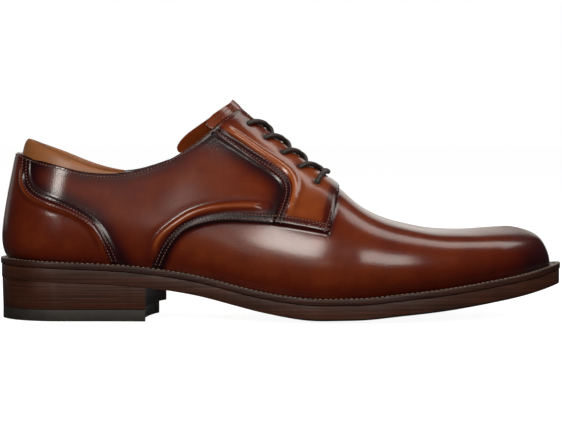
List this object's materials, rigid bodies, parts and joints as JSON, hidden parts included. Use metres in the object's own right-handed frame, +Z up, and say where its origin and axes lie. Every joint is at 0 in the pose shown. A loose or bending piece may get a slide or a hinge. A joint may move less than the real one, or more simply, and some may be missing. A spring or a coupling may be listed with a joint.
{
  "type": "derby shoe",
  "caption": "Low open-laced dress shoe with a rounded toe, welted sole and stacked heel, standing empty on its sole.",
  "frame": {"origin": "middle of the shoe's length and width, on the floor", "axes": "+X to the toe, +Y to the inner side of the foot, +Z up"},
  "size_m": [0.305, 0.1047, 0.1163],
  "materials": {
    "upper": "burnished, glossy",
    "tongue": "burnished, glossy",
    "collar_pad": "soft lining, satin",
    "insole": "lining, satin",
    "welt": "dyed edge, satin",
    "outsole": "dyed edge, satin",
    "heel_stack": "stacked layers, satin",
    "heel_top_piece": "matt",
    "laces": "waxed round cord"
  },
  "bodies": {
    "root": {"upper": "upper", "tongue": "tongue", "collar_pad": "collar_pad", "insole": "insole", "welt": "welt", "outsole": "outsole", "heel_stack": "heel_stack", "heel_top_piece": "heel_top_piece", "lace_bar": "laces", "lace_cross_1": "laces", "lace_cross_2": "laces", "lace_cross_3": "laces", "lace_cross_4": "laces"}
  },
  "joints": []
}
